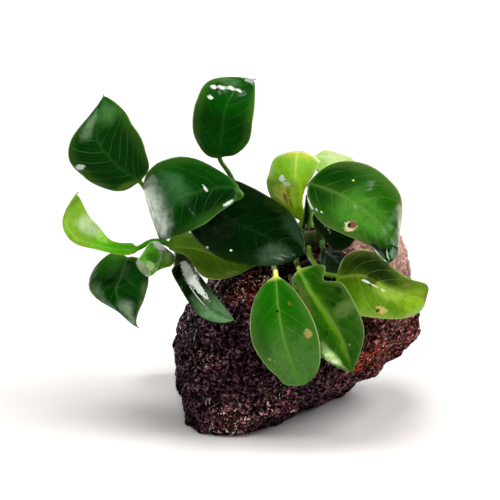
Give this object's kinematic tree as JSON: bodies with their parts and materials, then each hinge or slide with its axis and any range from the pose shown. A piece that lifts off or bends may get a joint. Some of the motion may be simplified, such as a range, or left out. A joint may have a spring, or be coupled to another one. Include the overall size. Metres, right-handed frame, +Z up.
{
  "type": "anubias on stone",
  "caption": "Small broad-leaved aquarium plant whose creeping stem and roots grip the top of a porous lava stone.",
  "frame": {"origin": "middle of the stone's flat foot, on the surface that it stands on", "axes": "+Z up, +X to the right and -Y towards the viewer of the picture"},
  "size_m": [0.1423, 0.0923, 0.1383],
  "materials": {
    "leaf_dark": "wet, glossy old leaf, almost black green",
    "leaf_green": "wet, glossy grown leaf, full green",
    "leaf_pale": "wet, glossy yellow-green leaf",
    "stem": "satin, ringed with leaf scars",
    "sheath": "wet, pale green",
    "root": "fibrous, brown",
    "stone": "rough, porous, wet at the front and drier and redder at the right"
  },
  "bodies": {
    "root": {"stone": "stone", "rhizome": "stem", "shoot": "sheath", "root_back_left": "root", "root_back_middle": "root", "root_back_right": "root", "root_left": "root", "root_front": "root", "leaf_top_left": "leaf_dark", "leaf_top_middle": "leaf_dark", "leaf_left_broad": "leaf_dark", "leaf_centre_dark": "leaf_dark", "leaf_under_olive": "leaf_green", "leaf_hanging_narrow": "leaf_dark", "leaf_left_pale": "leaf_pale", "leaf_left_lower": "leaf_dark", "leaf_top_pale": "leaf_pale", "leaf_behind_pale": "leaf_pale", "leaf_right_broad": "leaf_green", "leaf_right_under": "leaf_dark", "leaf_front_middle": "leaf_green", "leaf_front_bitten": "leaf_pale", "leaf_right_lower": "leaf_pale", "leaf_right_inner": "leaf_dark", "leaf_young_cupped": "leaf_pale", "leaf_back_left": "leaf_green", "leaf_back_right": "leaf_green"}
  },
  "joints": []
}
